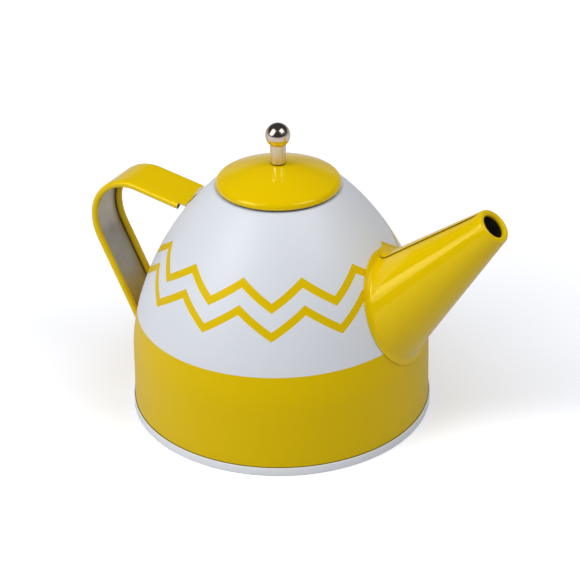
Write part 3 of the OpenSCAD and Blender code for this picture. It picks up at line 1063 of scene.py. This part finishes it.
class TEAPOT_OT_stage(bpy.types.Operator):
    """Sets the floor, the soft studio light and the camera"""

    bl_idname = "teapot.stage"
    bl_label = "Stage"

    # The camera stands to the front and the right of the pot, and looks down on it
    camera_turn = radians(28.6)
    camera_distance = 526.5 * MM
    camera_height = 331 * MM
    pan = radians(0.35)
    tilt = radians(28.92)
    roll = radians(-0.79)
    focal_pixels = 1800
    image_pixels = 580
    floor_radius = 6
    # The soft boxes face the middle of the pot, at this height
    aim_height = 45 * MM

    # A soft box: its turn from the camera, its angle above level, its distance, width, height and power.
    # Each has a lamp behind its cloth, so its middle is hotter. The left one has a bright strip low down too.
    boxes = {
        "left box": (radians(-62), radians(40), 0.9, 0.6, 0.8, 2.2),
        "left lamp": (radians(-62), radians(40), 0.88, 0.34, 0.36, 1.25),
        "left strip": (radians(-71), radians(18), 0.87, 0.34, 0.22, 0.38),
        "right box": (radians(60), radians(47), 0.9, 0.76, 0.72, 0.5),
        "right lamp": (radians(60), radians(52), 0.88, 0.4, 0.4, 1.15),
    }

    def execute(self, context):
        self.camera(context.scene)
        self.floor()
        for name, values in self.boxes.items():
            self.light(name, *values)
        self.world(context.scene)
        context.scene.view_settings.view_transform = "Standard"
        return {"FINISHED"}

    def camera(self, scene):
        data = bpy.data.cameras.new("camera")
        data.sensor_width = 36
        data.lens = data.sensor_width * self.focal_pixels / self.image_pixels
        data.clip_start, data.clip_end = 0.01, 100
        camera = bpy.data.objects.new("camera", data)
        out = Vector((sin(self.camera_turn), -cos(self.camera_turn), 0)) * self.camera_distance
        camera.matrix_world = (
            Matrix.Translation(out + Vector((0, 0, self.camera_height)))
            @ Matrix.Rotation(self.camera_turn - self.pan, 4, "Z")
            @ Matrix.Rotation(radians(90) - self.tilt, 4, "X")
            @ Matrix.Rotation(self.roll, 4, "Z")
        )
        scene.collection.objects.link(camera)
        scene.camera = camera

    def floor(self):
        bm = bmesh.new()
        bmesh.ops.create_circle(bm, cap_ends=True, segments=96, radius=self.floor_radius)
        material = bpy.data.materials.new("floor paper")
        add, place = new_tree(material)
        rays = add("LightPath").node.outputs

        def along_floor(turn, *values):
            """A value that eases from low to high between two distances, in the direction of a turn."""
            forward = add("VectorMath", place, (sin(turn), -cos(turn), 0), operation="DOT_PRODUCT")
            return add("MapRange", forward, *values, interpolation_type="SMOOTHSTEP")

        # Painted light: the paper is coloured brighter in front and to the left, where the light falls, so it
        # throws most light back there
        lit = along_floor(self.camera_turn - radians(20), -0.14, 0.08, 0.24, 0.64)
        mirrored = add("Mix", rays["Is Glossy Ray"], lit, 0.66)
        colour_seen = (0.865, 0.88, 0.935, 1)
        paper = add("BsdfDiffuse", add("Mix", rays["Is Camera Ray"], mirrored, colour_seen, data_type="RGBA"))
        # It is seen whiter away from the pot and in front of it
        away = add("VectorMath", place, operation="LENGTH")
        rise = add("MapRange", away, 0.1, 0.4, 0.15, 0.75, interpolation_type="SMOOTHSTEP")
        ahead = along_floor(self.camera_turn, 0.005, 0.04, 0.0, 0.18)
        white = add("Math", rise, ahead, operation="ADD")
        lift = add("Math", rays["Is Camera Ray"], white, operation="MULTIPLY")
        glow = add("Emission", named={"Strength": lift})
        add("OutputMaterial", add("AddShader", paper, glow))
        floor = to_object(bm, "floor", [material])

    def light(self, name, turn, rise, distance, width, height, watts):
        data = bpy.data.lights.new(name, "AREA")
        data.shape = "RECTANGLE"
        data.size, data.size_y = width, height
        data.energy = watts
        lamp = bpy.data.objects.new(name, data)
        around = self.camera_turn + turn
        towards = Vector((sin(around) * cos(rise), -cos(around) * cos(rise), sin(rise)))
        lamp.location = Vector((0, 0, self.aim_height)) + towards * distance
        lamp.rotation_euler = towards.to_track_quat("Z", "Y").to_euler()
        bpy.context.scene.collection.objects.link(lamp)

    def world(self, scene):
        """A pale room: white where it is seen straight, and darker overhead where metal mirrors it."""
        world = bpy.data.worlds.new("studio")
        add, place = new_tree(world, "Generated")
        rays = add("LightPath").node.outputs
        # The backdrop stands behind the pot and the dark room lies in front of it
        front = (0.2 * sin(self.camera_turn), -0.2 * cos(self.camera_turn), 1)
        tilted = add("VectorMath", place, front, operation="DOT_PRODUCT")
        mirrored = add("MapRange", tilted, -0.02, 0.26, 0.37, 0.04, interpolation_type="SMOOTHSTEP")
        up = add("SeparateXYZ", place).node.outputs["Z"]
        overhead = add("MapRange", up, 0.0, 1.0, 0.09, 0.92)
        fill = add("Mix", rays["Is Glossy Ray"], overhead, mirrored)
        shown = add("Mix", rays["Is Camera Ray"], fill, 1.0)
        add("OutputWorld", add("Background", (1, 1, 1, 1), shown))
        scene.world = world



# Panel and registration


PIECES = (
    TEAPOT_OT_body,
    TEAPOT_OT_base,
    TEAPOT_OT_spout,
    TEAPOT_OT_handle,
    TEAPOT_OT_lid,
    TEAPOT_OT_knob,
    TEAPOT_OT_stage,
)
SETTINGS = {
    "teapot_body": TeapotBody,
    "teapot_print": TeapotPrint,
    "teapot_spout": TeapotSpout,
    "teapot_handle": TeapotHandle,
    "teapot_lid": TeapotLid,
    "teapot_colours": TeapotColours,
}


class TEAPOT_PT_sidebar(bpy.types.Panel):
    """Lists the pieces of the teapot and their sizes"""

    bl_idname = "TEAPOT_PT_sidebar"
    bl_label = "Tin Teapot"
    bl_space_type = "VIEW_3D"
    bl_region_type = "UI"
    bl_category = "Teapot"

    def draw(self, context):
        for piece in PIECES:
            self.layout.operator(piece.bl_idname)
        for name, group in SETTINGS.items():
            box = self.layout.box()
            box.label(text=group.__name__)
            for key in group.__annotations__:
                box.prop(getattr(context.scene, name), key)


def register():
    for group in SETTINGS.values():
        bpy.utils.register_class(group)
    for name, group in SETTINGS.items():
        setattr(bpy.types.Scene, name, PointerProperty(type=group))
    for piece in PIECES:
        bpy.utils.register_class(piece)
    bpy.utils.register_class(TEAPOT_PT_sidebar)


def unregister():
    bpy.utils.unregister_class(TEAPOT_PT_sidebar)
    for piece in reversed(PIECES):
        bpy.utils.unregister_class(piece)
    for name, group in SETTINGS.items():
        delattr(bpy.types.Scene, name)
        bpy.utils.unregister_class(group)


def main():
    register()
    bpy.ops.teapot.body()
    bpy.ops.teapot.base()
    bpy.ops.teapot.spout()
    bpy.ops.teapot.handle()
    bpy.ops.teapot.lid()
    bpy.ops.teapot.knob()
    bpy.ops.teapot.stage()


if __name__ == "__main__":
    main()
